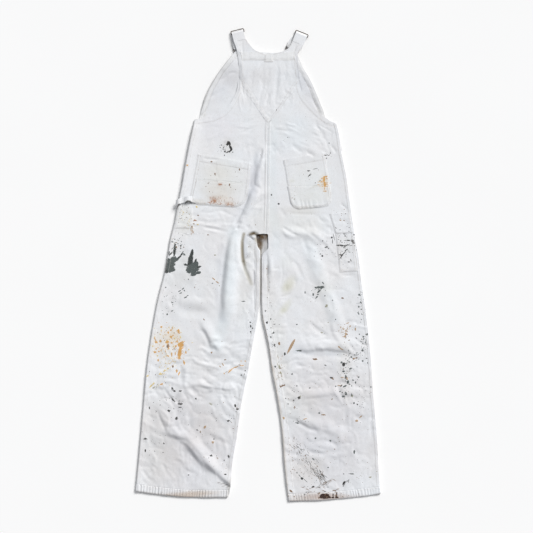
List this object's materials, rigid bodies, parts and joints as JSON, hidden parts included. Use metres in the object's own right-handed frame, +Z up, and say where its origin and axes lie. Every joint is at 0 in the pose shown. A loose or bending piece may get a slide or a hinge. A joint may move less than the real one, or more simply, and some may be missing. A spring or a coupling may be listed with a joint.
{
  "type": "paint spattered overalls",
  "caption": "Painter's bib overalls in worn white cotton drill, laid flat on their front with the back, its yoke, pockets, hammer loop and straps uppermost.",
  "frame": {"origin": "on the surface that the overalls lie on, under the middle of their outline", "axes": "+Y runs from the leg hems to the shoulders, +X to the right as seen from above, +Z up from the surface"},
  "size_m": [0.7228, 1.392, 0.0171],
  "materials": {
    "white_drill": "washed white cotton drill, paint spattered",
    "cream_drill": "unbleached side of the drill at hems and facing",
    "aged_brass": "dark, rusted brass wire and buttons"
  },
  "bodies": {
    "root": {"back_left": "white_drill", "back_right": "white_drill", "front_left": "white_drill", "front_right": "white_drill", "leg_hem_left": "white_drill", "leg_hem_right": "white_drill", "back_yoke": "white_drill", "neck_facing": "cream_drill", "neck_tab": "cream_drill", "bib": "white_drill", "bib_hem_left": "cream_drill", "bib_hem_right": "cream_drill", "bib_hem_top": "cream_drill", "back_pocket_left": "white_drill", "pocket_patch_left": "white_drill", "back_pocket_right": "white_drill", "pocket_patch_right": "white_drill", "tool_pocket_left": "white_drill", "tool_pocket_right_upper": "white_drill", "tool_pocket_right_lower": "white_drill", "hammer_loop": "white_drill", "strap_left": "white_drill", "strap_right": "white_drill", "strap_slide_left": "aged_brass", "strap_slide_right": "aged_brass", "buckle_left": "aged_brass", "buckle_right": "aged_brass", "button_left": "aged_brass", "button_right": "aged_brass"}
  },
  "joints": []
}
